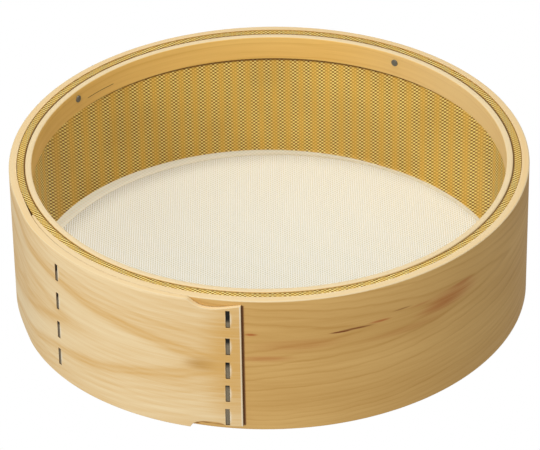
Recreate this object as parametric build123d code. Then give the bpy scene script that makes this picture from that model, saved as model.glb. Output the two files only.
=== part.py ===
from build123d import *
import math
import os

# Tamis drum sieve: a steam-bent wooden hoop lined with brass wire cloth.
# Millimetres, +Z up. The origin is the centre of the drum at the height of its bottom edge.
# Angles are in degrees about Z: 0 points right, 90 to the back, 270 to the front.

# Drum
rim_diameter = 300.0
drum_height = 86.0
strip_thickness = 4.4
rim_rounding = 0.9
fit_gap = 0.2
overrun = 5.0

# Overlap of the strip's two ends, and the cut-in corners of its outer tab
inner_end_angle = 204.0
tab_end_angle = 263.65
full_inner_angle = 268.0
full_outer_angle = 194.0
lap_gap = 0.2
notch_start_angle = 252.4
upper_notch_depth = 5.2
lower_notch_depth = 5.2

# Thickness of the strip's ends, as shares of strip_thickness, and the powers that shape their tapers
inner_tip_share = 0.3
inner_taper = 4.0
tab_end_share = 0.41
tab_taper = 3.0
lap_step = 4.0
heading_step = 0.01

# Notch outlines, as shares of the notch's length and depth
upper_notch_shares = [(0.0, 0.0), (0.13, 0.55), (0.29, 0.90), (0.50, 0.92), (0.76, 0.70), (1.0, 0.45)]
lower_notch_shares = [(0.0, 0.0), (0.06, 0.50), (0.16, 0.82), (0.28, 0.97), (0.45, 1.0), (0.58, 0.93), (0.70, 0.66),
                      (0.82, 0.60), (1.0, 0.64)]

# Wire cloth
cloth_thickness = 0.5
floor_height = 1.0
floor_bend = 1.5
fold_bend = 0.4
band_drop = 0.4
skirt_depth = 20.0

# Backing hoop
backing_thickness = 3.2
backing_rounding = 0.4

# Retaining ring
ring_thickness = 3.8
ring_height = 15.0
ring_rounding = 0.9
split_start_angle = 132.5
split_span = 9.7
split_rise = 5.0
split_opening = 0.5
split_depth = 0.8

# Lap staples, flat wire
crown_length = 10.8
staple_width = 2.2
staple_wire = 0.6
crown_sink = 0.3
crown_rounding = 0.5
clinch_length = 3.4
staple_clearance = 0.12
front_row_angle = 260.95
front_row_lean = -0.12
rear_row_angle = 218.9
rear_row_lean = -0.12
front_row_shares = [0.872, 0.662, 0.476, 0.295, 0.110]
rear_row_shares = [0.831, 0.607, 0.379, 0.164]

# Ring nails
nail_head_diameter = 4.2
nail_head_thickness = 0.7
nail_head_rounding = 0.25
nail_shank_diameter = 1.4
nail_point_length = 1.6
nail_length = 11.2
nail_drop = 5.8
nail_seat_gap = 0.05
nail_clearance = 0.1
first_nail_angle = 55.8
nail_count = 4

# Radii, from the outside in
hoop_outer_radius = rim_diameter / 2
hoop_inner_radius = hoop_outer_radius - strip_thickness
skirt_outer_radius = hoop_inner_radius - fit_gap
skirt_inner_radius = skirt_outer_radius - cloth_thickness
backing_outer_radius = skirt_inner_radius - fit_gap
backing_inner_radius = backing_outer_radius - backing_thickness
wall_outer_radius = backing_inner_radius - fit_gap
wall_inner_radius = wall_outer_radius - cloth_thickness
ring_outer_radius = wall_inner_radius - fit_gap
ring_inner_radius = ring_outer_radius - ring_thickness

# Heights
band_top = drum_height - band_drop
backing_top = band_top - cloth_thickness - fit_gap
ring_bottom = drum_height - ring_height
nail_height = drum_height - nail_drop


def polar(radius, angle):
    """Point on the XY plane at a radius and an angle in degrees."""
    return (radius * math.cos(math.radians(angle)), radius * math.sin(math.radians(angle)))


def tangent(angle):
    """Direction of growing angle at an angle in degrees."""
    return (-math.sin(math.radians(angle)), math.cos(math.radians(angle)))


def heading(radius_at, angle):
    """Direction, of length one, of a curve whose radius is a function of the angle."""
    here = polar(radius_at(angle), angle)
    ahead = polar(radius_at(angle + heading_step), angle + heading_step)
    step = math.dist(here, ahead)
    return ((ahead[0] - here[0]) / step, (ahead[1] - here[1]) / step)


def angles_between(start, end):
    """Evenly spaced angles, about lap_step apart, with both ends."""
    count = max(2, round((end - start) / lap_step))
    return [start + (end - start) * number / count for number in range(count + 1)]


def inner_layer_radius(angle):
    """Outer face of the strip's inner end, which thickens until it is the full strip."""
    still_to_go = max(0, full_inner_angle - angle) / (full_inner_angle - inner_end_angle)
    return hoop_inner_radius + strip_thickness * (1 - (1 - inner_tip_share) * still_to_go ** inner_taper)


def outer_layer_floor(angle):
    """Inner face of the strip's outer end: it lifts off the drum's circle, then lies on the inner end."""
    if angle >= inner_end_angle:
        return inner_layer_radius(angle) + lap_gap
    along = (angle - full_outer_angle) / (inner_end_angle - full_outer_angle)
    lift = inner_layer_radius(inner_end_angle) + lap_gap - hoop_inner_radius
    return hoop_inner_radius + lift * along * along


def outer_layer_radius(angle):
    """Outer face of the strip's outer end, which thins towards the tab."""
    along = (angle - full_outer_angle) / (tab_end_angle - full_outer_angle)
    thickness = strip_thickness * (1 - (1 - tab_end_share) * along ** tab_taper)
    return outer_layer_floor(angle) + thickness


def inner_end_curve(start, end, end_heading):
    """Stretch of the inner end's outer face, its headings given at both ends."""
    points = [polar(inner_layer_radius(angle), angle) for angle in angles_between(start, end)]
    return Spline(*points, tangents=[heading(inner_layer_radius, start), end_heading])


def bent_strip():
    """The whole strip: inner end, single layer round the drum, and outer end riding up over the inner end."""
    lap_angles = angles_between(full_outer_angle, inner_end_angle)
    lap_angles += angles_between(inner_end_angle, tab_end_angle)[1:]
    outside = [polar(outer_layer_radius(angle), angle) for angle in lap_angles]
    inside = [polar(outer_layer_floor(angle), angle) for angle in lap_angles]
    inner_tip = polar(inner_layer_radius(inner_end_angle), inner_end_angle)
    covered_heading = heading(inner_layer_radius, notch_start_angle)
    outline = [
        Line(polar(hoop_inner_radius, inner_end_angle), inner_tip),
        inner_end_curve(inner_end_angle, notch_start_angle, covered_heading),
        inner_end_curve(notch_start_angle, full_inner_angle, tangent(full_inner_angle)),
        CenterArc((0, 0), hoop_outer_radius, full_inner_angle, 360.0 + full_outer_angle - full_inner_angle),
        Spline(*outside),
        Line(outside[-1], inside[-1]),
        Spline(*inside),
        CenterArc((0, 0), hoop_inner_radius, inner_end_angle, 360.0 + full_outer_angle - inner_end_angle),
    ]
    return extrude(make_face(outline), amount=drum_height)


def is_rim_edge(edge):
    """True for the long upper and lower edges of the strip's outside, where it isn't covered by the tab."""
    middle = edge @ 0.5
    angle = math.degrees(math.atan2(middle.Y, middle.X)) % 360
    lapped = full_outer_angle < angle < notch_start_angle
    outside = outer_layer_radius(angle) if lapped else hoop_outer_radius
    level = abs((edge @ 0).Z - (edge @ 1).Z) < drum_height / 2
    return level and math.hypot(middle.X, middle.Y) > outside - lap_gap and edge.length > strip_thickness


def outside_inner_end():
    """Everything outside the middle of the gap between the two ends, round the tab."""
    angles = angles_between(2 * notch_start_angle - tab_end_angle, 2 * tab_end_angle - notch_start_angle)
    parting = [polar(inner_layer_radius(angle) + lap_gap / 2, angle) for angle in angles]
    far_radius = hoop_outer_radius + 2 * overrun
    far = [polar(far_radius, angle) for angle in (angles[-1], (angles[0] + angles[-1]) / 2, angles[0])]
    outline = [
        Spline(*parting),
        Line(parting[-1], far[0]),
        ThreePointArc(*far),
        Line(far[-1], parting[0]),
    ]
    return Pos(0, 0, -2 * overrun) * extrude(make_face(outline), amount=drum_height + 4 * overrun)


def notch_cutter(shares, depth, edge_height, direction):
    """Solid that cuts in one corner of the tab, at its upper edge (1) or its lower edge (-1)."""
    middle_angle = (notch_start_angle + tab_end_angle) / 2
    half_length = hoop_outer_radius * math.sin(math.radians(tab_end_angle - middle_angle))
    curve = []
    for along, inward in shares:
        curve.append((2 * half_length * along - half_length, edge_height - direction * depth * inward))
    far = half_length + overrun
    last = curve[-1]
    clear_height = edge_height + direction * overrun
    outline = [
        Spline(*curve),
        Line(last, (far, last[1])),
        Line((far, last[1]), (far, clear_height)),
        Line((far, clear_height), (curve[0][0], clear_height)),
        Line((curve[0][0], clear_height), curve[0]),
    ]
    outward = polar(1, middle_angle) + (0,)
    wall_plane = Plane(origin=(0, 0, 0), x_dir=tangent(middle_angle) + (0,), z_dir=outward)
    prism = extrude(wall_plane * make_face(outline), amount=hoop_outer_radius + overrun, dir=outward)
    return prism & outside_inner_end()


def staple_profile(crown, clinch, crown_wire, clinch_wire, reach, leg, tip, bends):
    """Staple's outline in radius and height, both legs alike: crown face, clinched face, thicknesses, sizes."""
    points = [
        (crown, reach),
        (crown, -reach),
        (clinch, -reach),
        (clinch, tip - reach),
        (clinch + clinch_wire, tip - reach),
        (clinch + clinch_wire, leg - reach),
        (crown - crown_wire, leg - reach),
        (crown - crown_wire, reach - leg),
        (clinch + clinch_wire, reach - leg),
        (clinch + clinch_wire, reach - tip),
        (clinch, reach - tip),
        (clinch, reach),
    ]
    radii = [bends, bends] + [0] * (len(points) - 2)
    return make_face(Plane.XZ * FilletPolyline(*points, radius=radii, close=True))


def lap_staple(angle, height):
    """Flat-wire staple: a sunk crown outside and two legs clinched towards each other inside."""
    crown_face = outer_layer_radius(angle) - crown_sink
    clinch_face = hoop_inner_radius + staple_clearance
    profile = staple_profile(crown_face, clinch_face, staple_wire, staple_wire, crown_length / 2,
                             staple_wire, clinch_length, crown_rounding)
    wire = extrude(profile, amount=staple_width / 2, both=True)
    return Rot(0, 0, angle) * Pos(0, 0, height) * wire


def staple_slot(angle, height):
    """What a staple takes out of the wood: a groove outside, two leg slots and two recesses inside."""
    groove_floor = outer_layer_radius(angle) - crown_sink - staple_wire - staple_clearance
    recess_floor = hoop_inner_radius + staple_wire + 2 * staple_clearance
    outside = outer_layer_radius(angle) + overrun
    inside = hoop_inner_radius - overrun
    profile = staple_profile(outside, inside, outside - groove_floor, recess_floor - inside,
                             crown_length / 2 + staple_clearance, staple_wire + 2 * staple_clearance,
                             clinch_length + 2 * staple_clearance, 0)
    slot = extrude(profile, amount=staple_width / 2 + staple_clearance, both=True)
    return Rot(0, 0, angle) * Pos(0, 0, height) * slot


def staple_rows():
    """Every lap staple's node name, angle and height."""
    rows = [("front", front_row_angle, front_row_lean, front_row_shares),
            ("rear", rear_row_angle, rear_row_lean, rear_row_shares)]
    places = []
    for row_name, top_angle, lean, shares in rows:
        for number, share in enumerate(shares):
            name = f"{row_name}_lap_staple_{number + 1}"
            places.append((name, top_angle + lean * number, drum_height * share))
    return places


def nail_angles():
    """The nails' angles, evenly spaced."""
    return [first_nail_angle + number * 360.0 / nail_count for number in range(nail_count)]


def ring_nail(angle):
    """Flat-headed nail whose head sits on the ring's inner face and whose point is in the hoop."""
    head_face = ring_inner_radius - nail_seat_gap
    head = Cylinder(nail_head_diameter / 2, nail_head_thickness, align=(Align.CENTER, Align.CENTER, Align.MAX))
    head = fillet(head.edges().sort_by(Axis.Z)[0], nail_head_rounding)
    shank_length = nail_length - nail_point_length
    shank = Cylinder(nail_shank_diameter / 2, shank_length, align=(Align.CENTER, Align.CENTER, Align.MIN))
    tip_radius = nail_shank_diameter / 8
    point = Cone(nail_shank_diameter / 2, tip_radius, nail_point_length,
                 align=(Align.CENTER, Align.CENTER, Align.MIN))
    nail = head + shank + Pos(0, 0, shank_length) * point
    return Rot(0, 0, angle) * Pos(head_face, 0, nail_height) * Rot(0, 90, 0) * nail


def nail_hole(angle):
    """Radial hole for a nail's shank, through every layer and blind in the outer hoop."""
    start = ring_inner_radius - overrun
    end = ring_inner_radius - nail_seat_gap + nail_length + nail_clearance
    hole = Cylinder(nail_shank_diameter / 2 + nail_clearance, end - start,
                    align=(Align.CENTER, Align.CENTER, Align.MIN))
    return Rot(0, 0, angle) * Pos(start, 0, nail_height) * Rot(0, 90, 0) * hole


def nail_holes():
    """The holes of all nails."""
    return [nail_hole(angle) for angle in nail_angles()]


def outer_hoop():
    """The lapped strip with its rounded rim edges, staple slots and nail holes."""
    hoop = bent_strip()
    hoop = fillet(hoop.edges().filter_by(is_rim_edge), rim_rounding)
    hoop -= notch_cutter(upper_notch_shares, upper_notch_depth, drum_height, 1)
    hoop -= notch_cutter(lower_notch_shares, lower_notch_depth, 0, -1)
    for name, angle, height in staple_rows():
        hoop -= staple_slot(angle, height)
    hoop -= nail_holes()
    return hoop


def turned_ring(inner, outer, low, high, roundings):
    """Ring of rectangular section with its corners rounded: inner low, outer low, outer high, inner high."""
    corners = [(inner, low), (outer, low), (outer, high), (inner, high)]
    section = make_face(Plane.XZ * FilletPolyline(*corners, radius=roundings, close=True))
    return revolve(section, axis=Axis.Z)


def backing_hoop():
    """Hidden hoop that the cloth is turned over."""
    hoop = turned_ring(backing_inner_radius, backing_outer_radius, 0, backing_top, [backing_rounding] * 4)
    return hoop - nail_holes()


def wire_cloth():
    """Cloth cup: flat floor, wall, fold over the backing hoop and a short skirt outside it."""
    outside_bend = floor_bend + cloth_thickness
    outside = FilletPolyline(
        (0, floor_height), (wall_outer_radius, floor_height), (wall_outer_radius, band_top - cloth_thickness),
        (skirt_inner_radius, band_top - cloth_thickness), (skirt_inner_radius, band_top - skirt_depth),
        radius=[outside_bend, fold_bend, fold_bend])
    inside = FilletPolyline(
        (0, floor_height + cloth_thickness), (wall_inner_radius, floor_height + cloth_thickness),
        (wall_inner_radius, band_top), (skirt_outer_radius, band_top),
        (skirt_outer_radius, band_top - skirt_depth),
        radius=[floor_bend, fold_bend + cloth_thickness, fold_bend + cloth_thickness])
    outline = [
        outside,
        Line((skirt_inner_radius, band_top - skirt_depth), (skirt_outer_radius, band_top - skirt_depth)),
        inside,
        Line((0, floor_height), (0, floor_height + cloth_thickness)),
    ]
    section = Plane.XZ * make_face(outline)
    return revolve(section, axis=Axis.Z) - nail_holes()


def retaining_ring():
    """Thin ring inside the top edge that holds the cloth, with a fine split near its lower edge."""
    ring = turned_ring(ring_inner_radius, ring_outer_radius, ring_bottom, drum_height,
                       [0, 0, ring_rounding, ring_rounding])
    split_low = ring_bottom + split_rise
    split_high = split_low + split_opening
    split_end = ring_inner_radius + split_depth
    start = ring_inner_radius - overrun
    corners = [(start, split_low), (split_end, split_low), (split_end, split_high), (start, split_high)]
    section = make_face(Plane.XZ * Polyline(*corners, close=True))
    split = Rot(0, 0, split_start_angle) * revolve(section, axis=Axis.Z, revolution_arc=split_span)
    return ring - split - nail_holes()


def build():
    """Every piece under its node name."""
    pieces = {
        "outer_hoop": outer_hoop(),
        "backing_hoop": backing_hoop(),
        "wire_cloth": wire_cloth(),
        "retaining_ring": retaining_ring(),
    }
    for name, angle, height in staple_rows():
        pieces[name] = lap_staple(angle, height)
    for number, angle in enumerate(nail_angles(), start=1):
        pieces[f"ring_nail_{number}"] = ring_nail(angle)
    return pieces


os.makedirs("parts", exist_ok=True)
for node_name, piece in build().items():
    export_step(piece, f"parts/{node_name}.step")
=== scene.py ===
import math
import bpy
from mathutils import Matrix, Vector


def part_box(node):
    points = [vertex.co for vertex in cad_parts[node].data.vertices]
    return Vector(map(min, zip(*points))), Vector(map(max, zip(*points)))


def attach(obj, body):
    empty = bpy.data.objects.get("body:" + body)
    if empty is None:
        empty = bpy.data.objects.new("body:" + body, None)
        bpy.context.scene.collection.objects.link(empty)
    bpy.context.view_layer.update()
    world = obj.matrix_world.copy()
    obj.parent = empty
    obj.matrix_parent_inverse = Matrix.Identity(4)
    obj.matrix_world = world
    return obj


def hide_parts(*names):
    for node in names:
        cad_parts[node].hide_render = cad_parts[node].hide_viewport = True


bl_info = {
    "name": "Tamis drum sieve",
    "version": (1, 0, 0),
    "blender": (4, 5, 0),
    "location": "3D View > Sidebar > Sieve",
    "description": "Builds a bentwood drum sieve with brass wire cloth over its packed model",
    "category": "Add Mesh",
}

import bmesh
import bpy
from mathutils import Matrix, Vector

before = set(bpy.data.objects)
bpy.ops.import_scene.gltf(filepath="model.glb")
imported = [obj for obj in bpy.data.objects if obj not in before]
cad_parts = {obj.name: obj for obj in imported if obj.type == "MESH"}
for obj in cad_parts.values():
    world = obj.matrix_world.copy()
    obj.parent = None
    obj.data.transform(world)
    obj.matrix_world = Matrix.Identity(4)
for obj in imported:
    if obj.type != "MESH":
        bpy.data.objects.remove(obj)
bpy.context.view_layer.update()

MM = 0.001
BODY = "root"

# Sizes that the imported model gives
hoop_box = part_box("outer_hoop")
ring_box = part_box("retaining_ring")
cloth_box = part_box("wire_cloth")
backing_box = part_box("backing_hoop")
drum_height = hoop_box[1][2]
rim_radius = hoop_box[1][0]
ring_bottom = ring_box[0][2]
ring_outer_radius = ring_box[1][0]
floor_underside = cloth_box[0][2]
band_top = cloth_box[1][2]
skirt_radius = cloth_box[1][0]

# The two ends of the hoop's strip, in degrees about Z: 0 points right, 90 to the back, 270 to the front
inner_end_angle = 204.0
full_inner_angle = 268.0
full_outer_angle = 194.0
tab_end_angle = 263.65
notch_start_angle = 252.4
lap_gap = 0.2 * MM
inner_tip_share = 0.3
inner_taper = 4.0
tab_end_share = 0.41
tab_taper = 3.0
upper_notch_depth = 5.2 * MM
lower_notch_depth = 5.2 * MM
upper_notch_shares = [(0.0, 0.0), (0.13, 0.55), (0.29, 0.90), (0.50, 0.92), (0.76, 0.70), (1.0, 0.45)]
lower_notch_shares = [(0.0, 0.0), (0.06, 0.50), (0.16, 0.82), (0.28, 0.97), (0.45, 1.0), (0.58, 0.93),
                      (0.70, 0.66), (0.82, 0.60), (1.0, 0.64)]

# Staples: angle, height and how much of the crown, from its top, lies in painted shadow in its slot
front_staples = [(260.95, 75.0, 0.66), (260.83, 56.9, 0.36), (260.71, 40.9, 0.26), (260.59, 25.4, 0.1),
                 (260.47, 9.5, 0.0)]
rear_staples = [(218.9, 71.5, 0.45), (218.78, 52.2, 0.3), (218.66, 32.6, 0.2), (218.54, 14.1, 0.1)]
nail_angles = [55.8, 145.8, 235.8, 325.8]
nail_height = 80.2 * MM
staple_places = [(angle, height) for angle, height, dark in front_staples + rear_staples]

# Cloth: its bend at the foot, measured outside, and what lies behind its wall
cloth_bend = 4.0 * MM
backing_thickness = 3.2 * MM
fit_gap = 0.2 * MM

# Rows of the wall's weave: how steeply they rise towards the back, and the slope from the drum's left and
# right at which the wires turn to run the other way
weave_lean = 0.67
side_slope = 0.364

# Pale foot of the cloth's wall, painted light with a glow: height, fade, tilt from left to right, and its
# extra height at the sides
foot_height = 3.3 * MM
foot_fade = 0.4 * MM
foot_tilt = 0.0155
foot_side = 72.0 * MM
foot_side_slope = 0.02
foot_side_most = 1.0 * MM

# Split in the ring, above its lower edge
split_middle_angle = 137.35
split_half_span = 4.85
split_fade = 0.55
split_rise = 5.25 * MM
split_half_opening = 0.3 * MM

# Staples and nails
crown_sink = 0.3 * MM
staple_clearance = 0.12 * MM
deeper_end = 0.35 * MM
deeper_middle = 0.15 * MM
leg_length = 1.6 * MM
head_thickness = 0.7 * MM
shank_radius = 0.7 * MM
shank_length = 8.0 * MM
nail_seat_gap = 0.05 * MM

# Faces round a full ring, and how near a corner or face must be to the place it is looked for
ring_steps = 192
touch = 0.1 * MM


# Settings

def colour_setting(name, description, *steps):
    """Colour property, with its default given in the 0 to 255 steps of a screen."""
    return bpy.props.FloatVectorProperty(name=name, description=description, default=linear(*steps), size=4,
                                         min=0.0, max=1.0, subtype="COLOR")


def length_setting(name, description, default):
    """Length property in metres."""
    return bpy.props.FloatProperty(name=name, description=description, default=default, min=0.0,
                                   precision=5, unit="LENGTH")


def share_setting(name, description, default):
    """Property between 0 and 1."""
    return bpy.props.FloatProperty(name=name, description=description, default=default, min=0.0, max=1.0,
                                   subtype="FACTOR")


def linear(red, green, blue):
    """Colour given in the 0 to 255 steps of a screen, as linear light with full alpha."""
    parts = []
    for step in (red, green, blue):
        share = step / 255
        parts.append(share / 12.92 if share <= 0.04045 else ((share + 0.055) / 1.055) ** 2.4)
    return tuple(parts) + (1.0,)


class SieveHoopSettings(bpy.types.PropertyGroup):
    """Sizes and colours of the bent wooden strip."""
    thickness: length_setting("Strip thickness", "Thickness of the strip in a single layer", 4.4 * MM)
    rounding: length_setting("Rim rounding", "Rounding of the strip's outer edges", 0.9 * MM)
    pale: colour_setting("Pale wood", "Colour between the growth rings at the lapped end",
                         244, 220, 174)
    golden: colour_setting("Golden wood", "Colour of the growth rings at the lapped end",
                           220, 174, 100)
    far_pale: colour_setting("Pale wood, far part", "Colour between the growth rings elsewhere",
                             220, 178, 108)
    far_golden: colour_setting("Golden wood, far part", "Colour of the growth rings elsewhere",
                               196, 150, 80)
    rim: colour_setting("Rim", "Colour of the planed top and bottom edges", 218, 196, 154)
    stain: colour_setting("Stain", "Colour of the reddish streaks", 180, 106, 50)
    # Painted highlight: pale halos beside the staple slots and a thin pale line at the tab's end.
    edge_highlight: colour_setting("Raw edge", "Colour of the freshly cut edges", 255, 246, 224)
    # Thin dark streaks, and also painted shadow: three small dark spots on the inner layer under the lapped
    # end's lower notch.
    sap_and_shadow: colour_setting("Sap", "Colour of the thin dark streak", 124, 66, 26)


class SieveRingSettings(bpy.types.PropertyGroup):
    """Sizes and colours of the thin ring inside the top edge."""
    thickness: length_setting("Ring thickness", "Thickness of the ring", 3.8 * MM)
    rounding: length_setting("Ring rounding", "Rounding of the ring's upper edges", 0.9 * MM)
    pale: colour_setting("Pale wood", "Colour between the ring's grain lines", 240, 196, 112)
    golden: colour_setting("Golden wood", "Colour of the ring's grain lines", 220, 170, 84)


class SieveClothSettings(bpy.types.PropertyGroup):
    """Sizes and colours of the brass wire cloth."""
    thickness: length_setting("Cloth thickness", "Thickness of the woven wire", 0.5 * MM)
    warp_pitch: length_setting("Warp pitch", "Distance from one wire to the next across the drum", 1.357 * MM)
    weft_pitch: length_setting("Weft pitch", "Distance from one crossing wire to the next", 1.13 * MM)
    wire_share: share_setting("Wire share", "Wire width as a share of the pitch", 0.62)
    banding: length_setting("Banding", "Width of the bands in which the wires glint together", 8.16 * MM)
    glint: colour_setting("Glint", "Colour of the wires' high spots", 255, 244, 164)
    brass: colour_setting("Brass", "Colour of the wires", 238, 190, 80)
    # Painted light: the floor's wires are painted much paler than the wall's brass of the same cloth, for the
    # white light that they catch and reflect.
    lit_floor_brass: colour_setting("Floor brass", "Colour of the open floor's wires", 216, 212, 187)
    floor_glint: colour_setting("Floor glint", "Colour of the open floor's high spots", 234, 232, 217)
    # Painted light: the foot's pale colour and glow stand in for light coming through the cloth from below.
    foot: colour_setting("Foot", "Colour of the cloth's bend, which lets light through from below",
                         236, 230, 214)
    # Painted shade: the wood seen through the cloth's holes, as it looks in shadow.
    gap: colour_setting("Gap", "Colour between the wires where the cloth lies on wood", 100, 52, 2)


class SieveSteelSettings(bpy.types.PropertyGroup):
    """Sizes and colours of the staples and nails."""
    crown_length: length_setting("Crown length", "Length of a staple's crown", 10.8 * MM)
    wire_width: length_setting("Wire width", "Width of the staples' flat wire", 2.2 * MM)
    wire_thickness: length_setting("Wire thickness", "Thickness of the staples' flat wire", 0.6 * MM)
    head_diameter: length_setting("Nail head", "Diameter of a nail's head", 4.2 * MM)
    steel: colour_setting("Steel", "Colour of the staples", 132, 118, 94)
    # Dark spots on the steel, and also painted shadow on the staples' tops where they lie deep in their slots.
    tarnish: colour_setting("Tarnish", "Colour of the steel that lies deep in its slot", 22, 20, 10)
    nail: colour_setting("Nail", "Colour of the nails", 98, 98, 92)


class SieveStageSettings(bpy.types.PropertyGroup):
    """Light and floor."""
    floor: colour_setting("Floor", "Colour of the floor", 255, 255, 255)
    bounce: share_setting("Bounce", "Share of the floor's light that reaches the drum", 0.55)
    ambient: bpy.props.FloatProperty(name="Ambient", description="Strength of the light from all round",
                                     default=0.42, min=0.0)
    key: bpy.props.FloatProperty(name="Key light", description="Power of the large light on the left",
                                 default=21.0, min=0.0)
    top: bpy.props.FloatProperty(name="Top light", description="Power of the light above", default=31.0,
                                 min=0.0)


# Modelling helpers

def settings(name):
    """One of the scene's groups of settings."""
    return getattr(bpy.context.scene, name)


def new_shape(name):
    """The object that the last primitive made, under its piece's name."""
    shape = bpy.context.object
    shape.name = name
    shape.data.name = name
    return shape


def deselect_everything():
    """Nothing selected in object mode."""
    if bpy.context.mode != "OBJECT":
        bpy.ops.object.mode_set(mode="OBJECT")
    bpy.ops.object.select_all(action="DESELECT")


def select_only(shape):
    """Only this object selected and active."""
    deselect_everything()
    shape.select_set(True)
    bpy.context.view_layer.objects.active = shape


def edit(shape, kind="FACE"):
    """Edit mode with nothing selected."""
    select_only(shape)
    bpy.ops.object.mode_set(mode="EDIT")
    bpy.ops.mesh.select_mode(type=kind)
    bpy.ops.mesh.select_all(action="DESELECT")


def select_all():
    """Everything selected, in edit mode."""
    bpy.ops.mesh.select_all(action="SELECT")


def select_none():
    """Nothing selected, in edit mode."""
    bpy.ops.mesh.select_all(action="DESELECT")


def leave_edit():
    """Back to object mode."""
    bpy.ops.object.mode_set(mode="OBJECT")


def pick(shape, kind, test):
    """Select the vertices, edges or faces that pass a test, in edit mode."""
    mesh = bmesh.from_edit_mesh(shape.data)
    for part in getattr(mesh, kind):
        part.select_set(test(part))
    mesh.select_flush_mode()
    bmesh.update_edit_mesh(shape.data)


def require_closed(shape):
    """Stop if a piece has an open seam."""
    mesh = bmesh.new()
    mesh.from_mesh(shape.data)
    loose = sum(1 for edge in mesh.edges if len(edge.link_faces) != 2)
    mesh.free()
    if loose:
        raise RuntimeError(f"{shape.name} has {loose} open or doubled edges")


def apply_place(shape):
    """Move an object's place, turn and size into its mesh."""
    select_only(shape)
    bpy.ops.object.transform_apply(location=True, rotation=True, scale=True)


def face_outwards(shape):
    """Merge doubles and point every face outwards."""
    edit(shape)
    select_all()
    bpy.ops.mesh.remove_doubles(threshold=0.000001)
    bpy.ops.mesh.normals_make_consistent(inside=False)
    leave_edit()


def smooth_piece(shape, degrees):
    """Smooth shading but for edges sharper than an angle."""
    select_only(shape)
    bpy.ops.object.shade_smooth_by_angle(angle=math.radians(degrees))


def dress(shape, nodes, materials):
    """Give a piece its materials, its body and the CAD nodes that it stands for."""
    for material in materials:
        shape.data.materials.append(material)
    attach(shape, BODY)
    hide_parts(*nodes)


def copy_of(shape, name):
    """Another object like this one, with its own mesh."""
    twin = shape.copy()
    twin.data = shape.data.copy()
    twin.name = name
    twin.data.name = name
    bpy.context.collection.objects.link(twin)
    return twin


def spin_section(shape):
    """Spin a flat section about Z into a closed ring."""
    edit(shape)
    select_all()
    bpy.ops.mesh.delete(type="ONLY_FACE")
    bpy.ops.mesh.select_mode(type="EDGE")
    select_all()
    bpy.ops.mesh.spin(steps=ring_steps, angle=2 * math.pi, center=(0, 0, 0), axis=(0, 0, 1))
    leave_edit()
    face_outwards(shape)
    require_closed(shape)


def extrude(way):
    """Extrude what is selected by a vector, in edit mode."""
    bpy.ops.mesh.extrude_region_move(TRANSFORM_OT_translate={"value": way})


def add_section(name, inner, outer, low, high):
    """Flat upright rectangle in the XZ plane, between two radii and two heights."""
    deselect_everything()
    bpy.ops.mesh.primitive_plane_add(size=1, location=((inner + outer) / 2, 0, (low + high) / 2),
                                     rotation=(math.pi / 2, 0, 0))
    shape = new_shape(name)
    shape.scale = (outer - inner, high - low, 1)
    apply_place(shape)
    return shape


def round_corners(shape, test, amount, segments):
    """Round the corners of a flat section that pass a test."""
    edit(shape, "VERT")
    pick(shape, "verts", test)
    bpy.ops.mesh.bevel(offset=amount, segments=segments, affect="VERTICES")
    leave_edit()


# Shader helpers

def new_material(name):
    """Empty node material with a Principled BSDF, and its node tree and shader."""
    material = bpy.data.materials.new(name)
    material.use_nodes = True
    tree = material.node_tree
    tree.nodes.clear()
    output = tree.nodes.new("ShaderNodeOutputMaterial")
    shader = tree.nodes.new("ShaderNodeBsdfPrincipled")
    tree.links.new(shader.outputs["BSDF"], output.inputs["Surface"])
    return material, tree, shader


def feed(tree, socket, value):
    """Link a socket to an output, or set it to a constant."""
    if isinstance(value, bpy.types.NodeSocket):
        tree.links.new(value, socket)
    elif value is not None:
        socket.default_value = value


def feed_all(tree, shader, values):
    """Feed several inputs of a shader, by their names."""
    for name, value in values.items():
        feed(tree, shader.inputs[name], value)


def maths(tree, operation, first, second=None, third=None, clamp=False):
    """Result of a Math node."""
    node = tree.nodes.new("ShaderNodeMath")
    node.operation = operation
    node.use_clamp = clamp
    for socket, value in zip(node.inputs, (first, second, third)):
        feed(tree, socket, value)
    return node.outputs[0]


def maths_of(operation):
    """Function that makes one kind of Math node."""
    def make(tree, *values, clamp=False):
        """Result of the node."""
        return maths(tree, operation, *values, clamp=clamp)
    return make


times = maths_of("MULTIPLY")
plus = maths_of("ADD")
minus = maths_of("SUBTRACT")
ratio = maths_of("DIVIDE")
scaled = maths_of("MULTIPLY_ADD")
size_of = maths_of("ABSOLUTE")


def vector_of(tree, x, y, z=0.0):
    """Vector from three numbers."""
    node = tree.nodes.new("ShaderNodeCombineXYZ")
    for socket, value in zip(node.inputs, (x, y, z)):
        feed(tree, socket, value)
    return node.outputs[0]


def parts_of(tree, vector):
    """The X, Y and Z of a vector."""
    node = tree.nodes.new("ShaderNodeSeparateXYZ")
    feed(tree, node.inputs[0], vector)
    return node.outputs[0], node.outputs[1], node.outputs[2]


def ramp(tree, factor, stops):
    """Smooth value of a Color Ramp whose stops are (place, grey)."""
    node = tree.nodes.new("ShaderNodeValToRGB")
    node.color_ramp.interpolation = "EASE"
    elements = node.color_ramp.elements
    while len(elements) < len(stops):
        elements.new(0.5)
    for element, (place, grey) in zip(elements, stops):
        element.position = place
        element.color = (grey, grey, grey, 1.0)
    feed(tree, node.inputs[0], factor)
    return node.outputs[0]


def smooth_step(tree, value, low, high, start=0.0, end=1.0):
    """Smooth passage from one value to another between two limits."""
    node = tree.nodes.new("ShaderNodeMapRange")
    node.interpolation_type = "SMOOTHSTEP"
    for socket, number in zip(node.inputs, (value, low, high, start, end)):
        feed(tree, socket, number)
    return node.outputs[0]


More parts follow.
